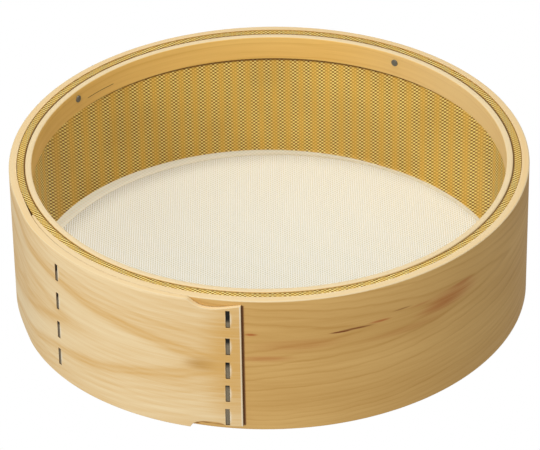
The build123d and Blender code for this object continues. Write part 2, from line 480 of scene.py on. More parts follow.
def noise(tree, vector, scale, detail=2.0, roughness=0.5):
    """Value of a Noise Texture."""
    node = tree.nodes.new("ShaderNodeTexNoise")
    feed(tree, node.inputs["Vector"], vector)
    node.inputs["Scale"].default_value = scale
    node.inputs["Detail"].default_value = detail
    node.inputs["Roughness"].default_value = roughness
    return node.outputs[0]


def mixed(tree, factor, first, second):
    """Colour between two colours."""
    node = tree.nodes.new("ShaderNodeMix")
    node.data_type = "RGBA"
    feed(tree, node.inputs[0], factor)
    feed(tree, node.inputs[6], first)
    feed(tree, node.inputs[7], second)
    return node.outputs[2]


def stretched(tree, vector, scale):
    """Vector through a Mapping node with a scale."""
    node = tree.nodes.new("ShaderNodeMapping")
    feed(tree, node.inputs["Vector"], vector)
    node.inputs["Scale"].default_value = scale
    return node.outputs[0]


def bumped(tree, height, strength, distance):
    """Normal of a Bump node."""
    node = tree.nodes.new("ShaderNodeBump")
    node.inputs["Strength"].default_value = strength
    node.inputs["Distance"].default_value = distance
    feed(tree, node.inputs["Height"], height)
    return node.outputs[0]


def object_coordinates(tree):
    """The Object output of a Texture Coordinate node."""
    return tree.nodes.new("ShaderNodeTexCoord").outputs["Object"]


def upward(tree):
    """How far a face looks up: 1 on a top, 0 on a wall."""
    return parts_of(tree, tree.nodes.new("ShaderNodeNewGeometry").outputs["Normal"])[2]


def use_group(tree, name, **values):
    """Place a node group and feed its inputs."""
    node = tree.nodes.new("ShaderNodeGroup")
    node.node_tree = bpy.data.node_groups[name]
    for key, value in values.items():
        feed(tree, node.inputs[key.replace("_", " ").capitalize()], value)
    return node.outputs


def new_group(name, inputs, outputs):
    """Shader node group with float, vector and colour sockets, and its ends."""
    tree = bpy.data.node_groups.new(name, "ShaderNodeTree")
    kinds = {"float": "NodeSocketFloat", "vector": "NodeSocketVector", "colour": "NodeSocketColor"}
    for label, kind in inputs:
        tree.interface.new_socket(name=label, in_out="INPUT", socket_type=kinds[kind])
    for label, kind in outputs:
        tree.interface.new_socket(name=label, in_out="OUTPUT", socket_type=kinds[kind])
    start = tree.nodes.new("NodeGroupInput")
    end = tree.nodes.new("NodeGroupOutput")
    return tree, start.outputs, end.inputs


def make_soft_spot_group():
    """Mask that fades out from a point on a surface, within a radius each way."""
    tree, start, end = new_group(
        "soft spot", [("Place", "vector"), ("Centre", "vector"), ("Reach", "vector")], [("Mask", "float")])
    away = tree.nodes.new("ShaderNodeVectorMath")
    away.operation = "SUBTRACT"
    feed(tree, away.inputs[0], start["Place"])
    feed(tree, away.inputs[1], start["Centre"])
    shares = tree.nodes.new("ShaderNodeVectorMath")
    shares.operation = "DIVIDE"
    feed(tree, shares.inputs[0], away.outputs[0])
    feed(tree, shares.inputs[1], start["Reach"])
    length = tree.nodes.new("ShaderNodeVectorMath")
    length.operation = "LENGTH"
    feed(tree, length.inputs[0], shares.outputs[0])
    feed(tree, end["Mask"], smooth_step(tree, length.outputs["Value"], 1.0, 0.15))


def make_fibre_group():
    """Fine streaks that run along a strip, with their height."""
    tree, start, end = new_group("wood fibre", [("Along", "float"), ("Across", "float")],
                                 [("Streak", "float"), ("Patch", "float"), ("Height", "float")])
    place = vector_of(tree, start["Along"], start["Across"])
    fine = noise(tree, stretched(tree, place, (30.0, 1900.0, 1.0)), 1.0, 3.0, 0.6)
    medium = noise(tree, stretched(tree, place, (11.0, 420.0, 1.0)), 1.0, 3.0, 0.55)
    patch = noise(tree, stretched(tree, place, (9.0, 42.0, 1.0)), 1.0, 3.0, 0.5)
    streak = plus(tree, times(tree, fine, 0.45), times(tree, medium, 0.55))
    feed(tree, end["Streak"], smooth_step(tree, streak, 0.3, 0.7))
    feed(tree, end["Patch"], smooth_step(tree, patch, 0.3, 0.7))
    feed(tree, end["Height"], fine)


def make_rings_group():
    """Growth rings of uneven strength, from the distance to the heart of the tree."""
    tree, start, end = new_group("growth rings", [("Distance", "float"), ("Spacing", "float")],
                                 [("Mask", "float")])
    count = ratio(tree, start["Distance"], start["Spacing"])
    share = maths(tree, "FRACT", count)
    number = maths(tree, "FLOOR", count)
    chance = tree.nodes.new("ShaderNodeTexWhiteNoise")
    chance.noise_dimensions = "1D"
    feed(tree, chance.inputs["W"], number)
    profile = ramp(tree, share, [(0.0, 0.25), (0.12, 0.05), (0.55, 0.2), (0.86, 1.0), (1.0, 0.25)])
    strength = scaled(tree, chance.outputs["Value"], 0.75, 0.25)
    feed(tree, end["Mask"], times(tree, profile, strength))


def make_weave_group():
    """Plain weave of round wires, from places counted in pitches: cover, high spots and height."""
    tree, start, end = new_group(
        "wire weave", [("Across", "float"), ("Along", "float"), ("Wire share", "float")],
        [("Cover", "float"), ("Over", "float"), ("Height", "float")])
    half = times(tree, start["Wire share"], 0.5)

    def wire(place):
        """How near a place is to its wire's middle: 1 on it, 0 at the wire's side."""
        from_middle = size_of(tree, minus(tree, maths(tree, "FRACT", place), 0.5))
        return minus(tree, 1.0, ratio(tree, from_middle, half), clamp=True)

    def wave(place):
        """Plus or minus one at the middle of every other wire."""
        return maths(tree, "COSINE", times(tree, minus(tree, place, 0.5), math.pi))

    warp = wire(start["Across"])
    weft = wire(start["Along"])
    over = times(tree, wave(start["Across"]), wave(start["Along"]))
    heights = [times(tree, maths(tree, "POWER", wires, 0.5), scaled(tree, over, rise, 0.6))
               for wires, rise in ((warp, 0.4), (weft, -0.4))]
    feed(tree, end["Cover"], smooth_step(tree, maths(tree, "MAXIMUM", warp, weft), 0.0, 0.12))
    feed(tree, end["Over"], scaled(tree, over, 0.5, 0.5))
    feed(tree, end["Height"], maths(tree, "MAXIMUM", *heights))


# Finishes

def strip_along(degrees):
    """The length along the strip's UV map at an angle along the strip."""
    return math.radians(degrees) * rim_radius


def strip_place(degrees, height_mm):
    """A place on the strip's UV map, from its angle along the strip and its height."""
    return (strip_along(degrees), height_mm * MM, 0.0)


def hoop_face_finish(look):
    """Face of the strip: arched growth rings at the lapped end, nearly straight ones elsewhere."""
    material, tree, shader = new_material("hoop face wood")
    uv = tree.nodes.new("ShaderNodeUVMap")
    uv.uv_map = "strip"
    place = uv.outputs[0]
    along, across = parts_of(tree, place)[:2]
    fibre = use_group(tree, "wood fibre", along=along, across=across)
    sway = noise(tree, stretched(tree, place, (16.0, 22.0, 1.0)), 1.0, 2.0, 0.5)
    ripple = noise(tree, stretched(tree, place, (70.0, 110.0, 1.0)), 1.0, 2.0, 0.5)
    drift = scaled(tree, sway, 7.0, -3.5)
    drift = plus(tree, drift, scaled(tree, ripple, 1.8, -0.9))

    def arch_tip(middle, spread):
        """Angle at which the arched ring through a place has its tip, from the arches' middle height."""
        rise = times(tree, minus(tree, across, middle * MM), 1000.0)
        rise = size_of(tree, plus(tree, rise, drift))
        away = maths(tree, "POWER", ratio(tree, rise, spread), 1.37)
        turned = times(tree, along, math.degrees(1 / rim_radius))
        return scaled(tree, away, math.degrees(MM / rim_radius), turned)

    tip = minus(tree, arch_tip(44.0, 0.8), 360.0 + 190.0)
    arches = ramp(tree, ratio(tree, tip, 160.0), [
        ((angle - 190) / 160, grey) for angle, grey in [
            (190, 0.36), (196, 0.44), (199, 0.30), (204, 0.46), (207, 0.32), (212, 0.40), (216, 0.34),
            (221, 0.56), (225, 0.36), (230, 0.16), (236, 0.06), (243, 0.10), (246, 0.03), (251, 0.12),
            (254, 0.32), (257, 0.55), (260, 0.44), (263, 0.62), (266, 0.36), (270, 0.24), (274, 0.36),
            (277, 0.22), (284, 0.40), (287, 0.20), (295, 0.34), (298, 0.18), (308, 0.30), (311, 0.16),
            (322, 0.30), (326, 0.16), (338, 0.28), (345, 0.2)]])
    far_tip = ratio(tree, arch_tip(62.0, 0.45), math.degrees(55.0 * MM / rim_radius))
    far_rings = use_group(tree, "growth rings", distance=far_tip, spacing=1.0)["Mask"]

    end_part = smooth_step(tree, along, strip_along(480.0), strip_along(520.0))
    rings = plus(tree, arches, times(tree, fibre["Streak"], 0.34))
    rings = scaled(tree, fibre["Patch"], 0.3, minus(tree, rings, 0.2), clamp=True)
    far_mask = plus(tree, times(tree, far_rings, 0.5),
                     times(tree, fibre["Streak"], 0.35))
    far_mask = scaled(tree, fibre["Patch"], 0.45, minus(tree, far_mask, 0.08), clamp=True)
    end_colour = mixed(tree, rings, look.pale, look.golden)
    far_colour = mixed(tree, far_mask, look.far_pale, look.far_golden)
    colour = mixed(tree, end_part, far_colour, end_colour)

    # Marks: angle and height, reach in degrees and in height, strength, colour
    stains_and_painted_light = [((265.6, 64.0), (1.9, 1.2), 1.0, look.stain), ((284.6, 62.0), (3.2, 0.8), 1.5, look.sap_and_shadow),
              ((288.0, 62.6), (5.0, 0.9), 1.1, look.sap_and_shadow), ((293.2, 63.8), (3.6, 1.2), 1.1, look.stain),
              ((298.6, 67.5), (3.0, 0.6), 0.8, look.sap_and_shadow), ((312.0, 62.5), (10.0, 8.0), 0.65, look.stain),
              ((308.0, 59.0), (8.0, 4.5), 0.5, look.stain), ((303.5, 66.0), (4.0, 1.2), 0.5, look.stain),
              ((315.0, 67.0), (5.0, 2.0), 0.6, look.stain), ((275.0, 56.0), (14.0, 6.0), 0.3, look.stain),
              ((268.6, 48.0), (8.0, 3.0), 0.5, look.stain), ((300.0, 53.0), (14.0, 3.5), 0.25, look.stain),
              ((616.0, 44.0), (6.0, 6.5), 0.9, look.far_golden),
              # The three spots at 253.6, 255.6 and 258.6 degrees, low on the inner layer, are painted shadow
              # under the lower notch's edge.
              ((622.0, 50.0), (9.0, 60.0), 1.1, look.golden), ((253.6, 1.6), (1.0, 0.7), 1.0, look.sap_and_shadow),
              ((255.6, 2.7), (2.2, 0.6), 1.0, look.sap_and_shadow), ((258.6, 2.5), (2.6, 0.6), 0.8, look.sap_and_shadow)]
    # Painted highlight: a pale halo beside every staple slot.
    for angle, height in staple_places:
        stains_and_painted_light.append(((angle + 360.14, height), (0.95, 6.8), 0.9, look.edge_highlight))
    for (angle, height), (reach, tall), strength, tint in stains_and_painted_light:
        spot = use_group(tree, "soft spot", place=place, centre=strip_place(angle, height),
                         reach=(math.radians(reach) * rim_radius, tall * MM, 1.0))["Mask"]
        streaky = times(tree, spot, scaled(tree, fibre["Streak"], 0.7, 0.5), clamp=True)
        colour = mixed(tree, times(tree, streaky, strength, clamp=True), colour, tint)

    # Painted highlight: a thin pale line along the outer layer's tab end.
    edge = smooth_step(tree, along, strip_along(623.3), strip_along(623.42), 0.0, 0.63)
    colour = mixed(tree, edge, colour, look.edge_highlight)
    # Painted shadow: a thin dark line on the inner layer beside the tab's end, where its step casts a shadow.
    tab_end_shadow = 0.9
    for value, low, high in ((along, strip_along(264.4), strip_along(264.0)),
                             (along, strip_along(263.35), strip_along(263.6)),
                             (across, 2.6 * MM, 3.6 * MM), (across, 83.4 * MM, 82.6 * MM)):
        tab_end_shadow = times(tree, tab_end_shadow, smooth_step(tree, value, low, high))
    colour = mixed(tree, tab_end_shadow, colour, linear(92, 44, 16))
    colour = mixed(tree, smooth_step(tree, upward(tree), 0.2, 0.55), colour, look.rim)

    feed_all(tree, shader, {
        "Base Color": colour,
        "Roughness": scaled(tree, fibre["Streak"], 0.12, 0.52),
        "Normal": bumped(tree, fibre["Height"], 0.25, 0.12 * MM),
        "Specular IOR Level": 0.22,
    })
    return material


def hoop_rim_finish(look):
    """Planed edges and ends of the strip."""
    material, tree, shader = new_material("hoop rim wood")
    uv = tree.nodes.new("ShaderNodeUVMap")
    uv.uv_map = "strip"
    along, across = parts_of(tree, uv.outputs[0])[:2]
    fibre = use_group(tree, "wood fibre", along=along, across=across)
    mask = plus(tree, times(tree, fibre["Streak"], 0.3), times(tree, fibre["Patch"], 0.25))
    feed_all(tree, shader, {
        "Base Color": mixed(tree, mask, look.rim, look.far_pale),
        "Roughness": scaled(tree, fibre["Streak"], 0.15, 0.55),
        "Normal": bumped(tree, fibre["Height"], 0.2, 0.1 * MM),
        "Specular IOR Level": 0.3,
    })
    return material


def slot_finish(look):
    """Raw wood inside the staple slots, crushed and in shade."""
    material, tree, shader = new_material("staple slot wood")
    grain = noise(tree, object_coordinates(tree), 900.0, 3.0)
    feed_all(tree, shader, {
        "Base Color": mixed(tree, grain, linear(96, 66, 34), linear(150, 112, 66)),
        "Roughness": scaled(tree, grain, 0.2, 0.7),
    })
    return material


def round_coordinates(tree, radius):
    """Length along a ring, height and distance from the axis, from Object coordinates."""
    x, y, z = parts_of(tree, object_coordinates(tree))
    out = maths(tree, "SQRT", plus(tree, times(tree, x, x), times(tree, y, y)))
    return times(tree, maths(tree, "ARCTAN2", y, x), radius), z, out


def ring_wood_finish(name, pale, golden, radius, rim, split):
    """Straight-grained thin wood bent round, with pale planed edges and, on the ring, a fine dark split and
    painted light that pales its right side.
    """
    material, tree, shader = new_material(name)
    along, height, out = round_coordinates(tree, radius)
    across = plus(tree, height, out)
    fibre = use_group(tree, "wood fibre", along=along, across=across)
    wander = noise(tree, vector_of(tree, times(tree, along, 9.0), times(tree, across, 30.0)), 1.0)
    distance = plus(tree, across, times(tree, wander, 10.0 * MM))
    rings = use_group(tree, "growth rings", distance=distance, spacing=3.4 * MM)["Mask"]
    mask = plus(tree, times(tree, rings, 0.4), times(tree, fibre["Streak"], 0.35))
    mask = scaled(tree, fibre["Patch"], 0.3, minus(tree, mask, 0.12), clamp=True)
    colour = mixed(tree, mask, pale, golden)
    if split:
        # Painted light: paler and less golden towards the drum's right, where the light from the left falls on
        # the ring's inner face.
        x = parts_of(tree, object_coordinates(tree))[0]
        colour = mixed(tree, smooth_step(tree, x, 30.0 * MM, 125.0 * MM, 0.0, 0.5), colour, rim)
    colour = mixed(tree, smooth_step(tree, upward(tree), 0.35, 0.8), colour, rim)
    if split:
        turned = ratio(tree, along, radius)
        ends = size_of(tree, minus(tree, turned, math.radians(split_middle_angle)))
        level = size_of(tree, minus(tree, height, ring_bottom + split_rise))
        gap = times(tree, smooth_step(tree, ends, math.radians(split_half_span),
                                      math.radians(split_half_span - split_fade)),
                    smooth_step(tree, level, split_half_opening, split_half_opening / 2))
        colour = mixed(tree, times(tree, gap, 0.85), colour, linear(70, 36, 12))
    feed_all(tree, shader, {
        "Base Color": colour,
        "Roughness": scaled(tree, fibre["Streak"], 0.12, 0.5),
        "Normal": bumped(tree, fibre["Height"], 0.2, 0.1 * MM),
        "Specular IOR Level": 0.22,
    })
    return material


def cloth_places(tree, look, upright):
    """Places on the cloth in pitches, and the place across the drum in metres."""
    x, y, z = parts_of(tree, object_coordinates(tree))
    if not upright:
        across, along, base = x, y, x
    else:
        side_on = maths(tree, "GREATER_THAN", times(tree, size_of(tree, x), side_slope),
                        size_of(tree, y))
        base = plus(tree, times(tree, y, side_on),
                     times(tree, x, minus(tree, 1.0, side_on)))
        across, along = base, scaled(tree, y, weave_lean, z)
    return ratio(tree, across, look.warp_pitch), ratio(tree, along, look.weft_pitch), base


def banding(tree, look, base):
    """Strength of the bands in which the wires glint together."""
    turn = times(tree, base, math.pi / look.banding)
    return size_of(tree, maths(tree, "COSINE", turn))


def cloth_on_wood_finish(name, look, upright, contrast):
    """Brass cloth that lies on wood: wires, their high spots, and the gaps between them painted as wood in
    shade, with painted shade by the ring and a painted-light foot.
    """
    material, tree, shader = new_material(name)
    across, along, base = cloth_places(tree, look, upright)
    weave = use_group(tree, "wire weave", across=across, along=along, wire_share=look.wire_share)
    patch = noise(tree, object_coordinates(tree), 24.0, 2.0)
    strength = scaled(tree, maths(tree, "POWER", banding(tree, look, base), 1.5), contrast,
                     1.0 - contrast)
    wires = mixed(tree, smooth_step(tree, weave["Over"], 0.5, 0.2), look.brass, look.gap)
    wires = mixed(tree, smooth_step(tree, weave["Over"], 0.5, 0.7), wires, look.glint)
    colour = mixed(tree, strength, look.brass, wires)
    # Painted shade where the weave is low between the wires, for the wood behind in shadow.
    colour = mixed(tree, smooth_step(tree, weave["Height"], 0.35, 0.0, 0.0, 0.35), colour, look.gap)
    colour = mixed(tree, smooth_step(tree, patch, 0.35, 0.7, 0.0, 0.12), colour, look.gap)
    if not upright:
        colour = mixed(tree, 0.2, colour, look.gap)
        out = round_coordinates(tree, 1.0)[2]
        # Painted shade: a dark line on the band along the ring's outer edge, between the two parts.
        ring_edge_shade = smooth_step(tree, out, ring_outer_radius + 1.3 * MM, ring_outer_radius + 0.5 * MM,
                              0.0, 0.85)
        colour = mixed(tree, ring_edge_shade, colour, linear(110, 70, 24))
    else:
        x, y, height = parts_of(tree, object_coordinates(tree))
        # Painted shadow: a dark line on the cloth's wall just under the ring's lower edge.
        under_ring_shadow = smooth_step(tree, height, ring_bottom - 4.3 * MM, ring_bottom - 3.0 * MM, 0.0, 0.85)
        colour = mixed(tree, under_ring_shadow, colour, linear(84, 44, 10))
        # Painted light: the foot is painted pale like the lit floor and glows, more towards the left.
        lift = scaled(tree, x, foot_tilt, height)
        beside = maths(tree, "MAXIMUM", minus(tree, size_of(tree, x), foot_side), 0.0)
        beside = maths(tree, "MINIMUM", times(tree, beside, foot_side_slope), foot_side_most)
        foot = smooth_step(tree, minus(tree, lift, beside), foot_height, foot_height - foot_fade)
        pale = mixed(tree, weave["Over"], look.lit_floor_brass, look.foot)
        colour = mixed(tree, foot, colour, pale)
        glow = times(tree, foot, smooth_step(tree, x, 60.0 * MM, -120.0 * MM, 0.1, 1.0))
        feed(tree, shader.inputs["Emission Color"], mixed(tree, glow, (0.0, 0.0, 0.0, 1.0), look.foot))
        shader.inputs["Emission Strength"].default_value = 0.3
    feed_all(tree, shader, {
        "Base Color": colour,
        "Metallic": smooth_step(tree, weave["Height"], 0.1, 0.5, 0.0, 0.3),
        "Roughness": scaled(tree, weave["Height"], -0.2, 0.6),
        "Normal": bumped(tree, weave["Height"], 0.4, 0.15 * MM),
        "Specular IOR Level": 0.25,
    })
    return material


def cloth_floor_finish(look):
    """Open brass cloth: wires, with clear holes between them. The far side of the sheet doesn't show."""
    material, tree, shader = new_material("brass cloth floor")
    across, along = cloth_places(tree, look, False)[:2]
    weave = use_group(tree, "wire weave", across=across, along=along, wire_share=look.wire_share)
    colour = mixed(tree, smooth_step(tree, weave["Over"], 0.2, 0.8), look.lit_floor_brass, look.floor_glint)
    front = minus(tree, 1.0, tree.nodes.new("ShaderNodeNewGeometry").outputs["Backfacing"])
    feed_all(tree, shader, {
        "Base Color": colour,
        "Alpha": times(tree, weave["Cover"], front),
        "Metallic": smooth_step(tree, weave["Height"], 0.1, 0.5, 0.0, 0.1),
        "Roughness": scaled(tree, weave["Height"], -0.15, 0.55),
        "Normal": bumped(tree, weave["Height"], 0.15, 0.15 * MM),
    })
    return material


def steel_finish(name, colour, tarnish, attribute):
    """Dull steel with spots, and with painted shadow from an attribute where there is one."""
    material, tree, shader = new_material(name)
    place = object_coordinates(tree)
    spots = smooth_step(tree, noise(tree, place, 1400.0, 3.0, 0.6), 0.35, 0.75)
    scratches = noise(tree, stretched(tree, place, (3000.0, 3000.0, 260.0)), 1.0, 2.0)
    base = mixed(tree, times(tree, spots, 0.45), colour, tarnish)
    base = mixed(tree, times(tree, scratches, 0.25), base, linear(196, 184, 156))
    if attribute:
        shade = tree.nodes.new("ShaderNodeAttribute")
        shade.attribute_name = attribute
        base = mixed(tree, shade.outputs["Fac"], base, tarnish)
    feed_all(tree, shader, {
        "Base Color": base,
        "Metallic": scaled(tree, spots, -0.3, 0.5),
        "Roughness": scaled(tree, spots, 0.25, 0.42),
        "Normal": bumped(tree, scratches, 0.2, 0.05 * MM),
    })
    return material


# Shape of the lapped strip

def inner_layer_radius(angle, thickness):
    """Outer face of the strip's inner end."""
    to_go = max(0.0, (full_inner_angle - angle) / (full_inner_angle - inner_end_angle))
    return rim_radius - thickness + thickness * (1 - (1 - inner_tip_share) * to_go ** inner_taper)


def outer_layer_floor(angle, thickness):
    """Inner face of the strip's outer end."""
    if angle >= inner_end_angle:
        return inner_layer_radius(angle, thickness) + lap_gap
    along = max(0.0, (angle - full_outer_angle) / (inner_end_angle - full_outer_angle))
    start = rim_radius - thickness
    lift = inner_layer_radius(inner_end_angle, thickness) + lap_gap - start
    return start + lift * along * along


def outer_layer_radius(angle, thickness):
    """Outer face of the strip's outer end."""
    along = max(0.0, (angle - full_outer_angle) / (tab_end_angle - full_outer_angle))
    return outer_layer_floor(angle, thickness) + thickness * (1 - (1 - tab_end_share) * along ** tab_taper)


def strip_radii(angle, thickness):
    """Inner and outer radius of the strip, at an angle counted along it from its inner end."""
    if angle <= full_inner_angle:
        return rim_radius - thickness, inner_layer_radius(angle, thickness)
    if angle <= full_outer_angle + 360.0:
        return rim_radius - thickness, rim_radius
    return outer_layer_floor(angle - 360.0, thickness), outer_layer_radius(angle - 360.0, thickness)


def curve_through(shares, along):
    """Smooth curve through points given as (along, depth)."""
    last = len(shares) - 1
    number = 0
    while number < last - 1 and along > shares[number + 1][0]:
        number += 1
    (x0, y0), (x1, y1) = shares[number], shares[number + 1]
    before = shares[max(0, number - 1)]
    after = shares[min(last, number + 2)]
    width = x1 - x0
    slope0 = (y1 - before[1]) / (x1 - before[0]) * width
    slope1 = (after[1] - y0) / (after[0] - x0) * width
    t = (along - x0) / width
    return ((2 * t ** 3 - 3 * t ** 2 + 1) * y0 + (t ** 3 - 2 * t ** 2 + t) * slope0
            + (3 * t ** 2 - 2 * t ** 3) * y1 + (t ** 3 - t ** 2) * slope1)


def strip_limits(angle):
    """Lower and upper edge of the strip, at an angle counted along it."""
    along = (angle - 360.0 - notch_start_angle) / (tab_end_angle - notch_start_angle)
    if along <= 0:
        return 0.0, drum_height
    along = min(1.0, along)
    return (lower_notch_depth * curve_through(lower_notch_shares, along),
            drum_height - upper_notch_depth * curve_through(upper_notch_shares, along))


def strip_columns():
    """Angles along the strip at which its board has a column of faces, closer together at the tab."""
    stops = [inner_end_angle]
    tab_start = notch_start_angle + 360.0
    for stop, step in ((full_outer_angle + 350.0, 2.0), (tab_start, 1.0), (tab_end_angle + 360.0, 0.35)):
        count = max(1, round((stop - stops[-1]) / step))
        first = stops[-1]
        stops += [first + (stop - first) * number / count for number in range(1, count + 1)]
    return stops


def bend_board(shape, thickness):
    """Bend the flat board: its length becomes the angle, its width the height, its depth the radius."""
    for vertex in shape.data.vertices:
        angle = math.degrees(vertex.co.x / rim_radius)
        low, high = strip_limits(angle)
        inner, outer = strip_radii(angle, thickness)
        radius = inner + (outer - inner) * vertex.co.z / thickness
        height = low + (high - low) * vertex.co.y / drum_height
        turn = math.radians(angle)
        vertex.co = (radius * math.cos(turn), radius * math.sin(turn), height)


# Operators

class SIEVE_OT_finishes(bpy.types.Operator):
    """Make the shader node groups that the finishes share"""
    bl_idname = "sieve.finishes"
    bl_label = "Shared finishes"

    def execute(self, context):
        make_soft_spot_group()
        make_fibre_group()
        make_rings_group()
        make_weave_group()
        return {"FINISHED"}


class SIEVE_OT_hoop(bpy.types.Operator):
    """Make the lapped wooden hoop from one flat board"""
    bl_idname = "sieve.hoop"
    bl_label = "Hoop"

    def execute(self, context):
        look = settings("sieve_hoop")
        columns = strip_columns()
        rows = 8
        deselect_everything()
        bpy.ops.mesh.primitive_grid_add(x_subdivisions=len(columns) - 1, y_subdivisions=rows, size=1)
        board = new_shape("hoop_strip")
        for vertex in board.data.vertices:
            column = round((vertex.co.x + 0.5) * (len(columns) - 1))
            vertex.co = (math.radians(columns[column]) * rim_radius, (vertex.co.y + 0.5) * drum_height, 0)
        edit(board)
        select_all()
        extrude((0, 0, look.thickness))
        select_all()
        bpy.ops.mesh.normals_make_consistent(inside=False)
        select_none()
        bpy.ops.mesh.select_mode(type="EDGE")

        def is_outline(edge):
            """True for the edges round the board's outer face."""
            middle = (edge.verts[0].co + edge.verts[1].co) / 2
            flat = abs(edge.verts[0].co.z - edge.verts[1].co.z) < look.thickness / 2
            sides = {face.normal.z > 0.5 for face in edge.link_faces}
            return flat and middle.z > look.thickness / 2 and len(sides) == 2

        pick(board, "edges", is_outline)
        bpy.ops.mesh.bevel(offset=look.rounding, segments=4, affect="EDGES", clamp_overlap=True)
        leave_edit()
        sheet = board.data.uv_layers.new(name="strip")
        for loop in board.data.loops:
            place = board.data.vertices[loop.vertex_index].co
            low, high = strip_limits(math.degrees(place.x / rim_radius))
            height = low + (high - low) * place.y / drum_height
            sheet.data[loop.index].uv = (place.x, height + place.z - look.thickness)
        for face in board.data.polygons:
            face.material_index = 0 if face.normal.z > 0.3 or face.normal.z < -0.9 else 1
        bend_board(board, look.thickness)
        self.cut_slots(board, look)
        require_closed(board)
        smooth_piece(board, 40)
        dress(board, ["outer_hoop"],
              [hoop_face_finish(look), hoop_rim_finish(look), slot_finish(look)])
        return {"FINISHED"}

    def cut_slots(self, board, look):
        """Cut the staple slots with boxes."""
        steel = settings("sieve_steel")
        depth = steel.wire_thickness + crown_sink + staple_clearance
        tall = steel.crown_length / 2 + staple_clearance
        half_wide = steel.wire_width / 2 + staple_clearance
        outside = 2 * MM
        cutters = []
        for angle, height in staple_places:
            turn = math.radians(angle)
            reach = outer_layer_radius(angle, look.thickness) - depth + outside
            deselect_everything()
            bpy.ops.mesh.primitive_cube_add(
                size=1, location=(reach * math.cos(turn), reach * math.sin(turn), height * MM),
                rotation=(0, 0, turn), scale=(2 * outside, 2 * half_wide, 2 * tall))
            cutter = new_shape("slot cutter")
            apply_place(cutter)
            cutters.append(cutter)
        deselect_everything()
        for cutter in cutters:
            cutter.select_set(True)
        all_boxes = cutters[0]
        bpy.context.view_layer.objects.active = all_boxes
        bpy.ops.object.join()
        select_only(board)
        cut = board.modifiers.new("slots", "BOOLEAN")
        cut.operation = "DIFFERENCE"
        cut.solver = "EXACT"
        cut.object = all_boxes
        bpy.ops.object.modifier_apply(modifier="slots")
        bpy.data.objects.remove(all_boxes, do_unlink=True)
        for face in board.data.polygons:
            angle = math.degrees(math.atan2(face.center.y, face.center.x)) % 360
            radius = math.hypot(face.center.x, face.center.y)
            for staple_angle, height in staple_places:
                beside = abs(math.radians(angle - staple_angle)) * radius < half_wide + touch / 2
                level = abs(face.center.z - height * MM) < tall + touch / 2
                deep = outer_layer_radius(staple_angle, look.thickness) - radius
                if beside and level and touch < deep < depth + touch:
                    face.material_index = 2


class SIEVE_OT_ring(bpy.types.Operator):
    """Make the thin ring inside the top edge, with its fine split"""
    bl_idname = "sieve.ring"
    bl_label = "Retaining ring"

    def execute(self, context):
        look = settings("sieve_ring")
        inner = ring_outer_radius - look.thickness
        section = add_section("ring_strip", inner, ring_outer_radius, ring_bottom, drum_height)
        round_corners(section, lambda corner: corner.co.z > (ring_bottom + drum_height) / 2, look.rounding, 5)
        spin_section(section)
        smooth_piece(section, 35)
        finish = ring_wood_finish("ring wood", look.pale, look.golden, inner, settings("sieve_hoop").rim,
                                  True)
        dress(section, ["retaining_ring"], [finish])
        return {"FINISHED"}


class SIEVE_OT_backing(bpy.types.Operator):
    """Give the hidden backing hoop its wood"""
    bl_idname = "sieve.backing"
    bl_label = "Backing hoop"

    def execute(self, context):
        look = settings("sieve_hoop")
        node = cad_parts["backing_hoop"]
        finish = ring_wood_finish("backing wood", look.far_pale, look.far_golden, backing_box[1][0],
                                  look.rim, False)
        node.data.materials.clear()
        node.data.materials.append(finish)
        return {"FINISHED"}


class SIEVE_OT_cloth(bpy.types.Operator):
    """Make the wire cloth: its floor, its wall and the band turned over the top"""
    bl_idname = "sieve.cloth"
    bl_label = "Wire cloth"

    def execute(self, context):
        look = settings("sieve_cloth")
        wall_outer = backing_box[1][0] - backing_thickness - fit_gap
        wall_inner = wall_outer - look.thickness
        floor_radius = wall_outer - cloth_bend
        self.make_floor(look, floor_radius)
        self.make_wall(look, floor_radius, wall_inner, wall_outer)
        self.make_band(look, wall_inner)
        return {"FINISHED"}

    def make_floor(self, look, radius):
        """Flat round floor."""
        deselect_everything()
        bpy.ops.mesh.primitive_circle_add(vertices=ring_steps, radius=radius, fill_type="NGON",
                                          location=(0, 0, floor_underside))
        floor = new_shape("cloth_floor")
        apply_place(floor)
        edit(floor)
        select_all()
        for share in (0.2, 0.25, 0.3):
            bpy.ops.mesh.inset(thickness=radius * share, depth=0)
        select_all()
        extrude((0, 0, look.thickness))
        leave_edit()
        face_outwards(floor)
        require_closed(floor)
        dress(floor, ["wire_cloth"], [cloth_floor_finish(look)])

    def make_wall(self, look, start, inner, outer):
        """Bend up from the floor and upright wall, as one section that is then spun."""
        top = band_top - 1.0 * MM
        floor_top = floor_underside + look.thickness
        wall = add_section("cloth_wall", inner, outer, floor_top, top)
        edit(wall, "EDGE")
        pick(wall, "edges", lambda edge: all(end.co.z < (floor_top + top) / 2 for end in edge.verts))
        extrude((0, 0, floor_underside - floor_top))
        pick(wall, "edges", lambda edge: all(
            end.co.z < floor_top + look.thickness and end.co.x < (inner + outer) / 2 for end in edge.verts))
        extrude((start - inner, 0, 0))
        leave_edit()
        for radius, height in ((inner, floor_top), (outer, floor_underside)):
            corner = Vector((radius, 0, height))
            round_corners(wall, lambda end: (end.co - corner).length < touch, radius - start - touch, 6)
        edit(wall)
        select_all()
        bpy.ops.mesh.dissolve_faces()
        leave_edit()
        spin_section(wall)
        smooth_piece(wall, 40)
        dress(wall, ["wire_cloth"],
              [cloth_on_wood_finish("brass cloth wall", look, True, 0.75)])

    def make_band(self, look, wall_inner):
        """Cloth turned over the top of the backing hoop."""
        band = add_section("cloth_band", wall_inner, skirt_radius, band_top - look.thickness, band_top)
        round_corners(band, lambda end: end.co.z > band_top - look.thickness / 2, 0.35 * MM, 3)
        spin_section(band)
        smooth_piece(band, 40)
        dress(band, ["wire_cloth"],
              [cloth_on_wood_finish("brass cloth band", look, False, 0.4)])


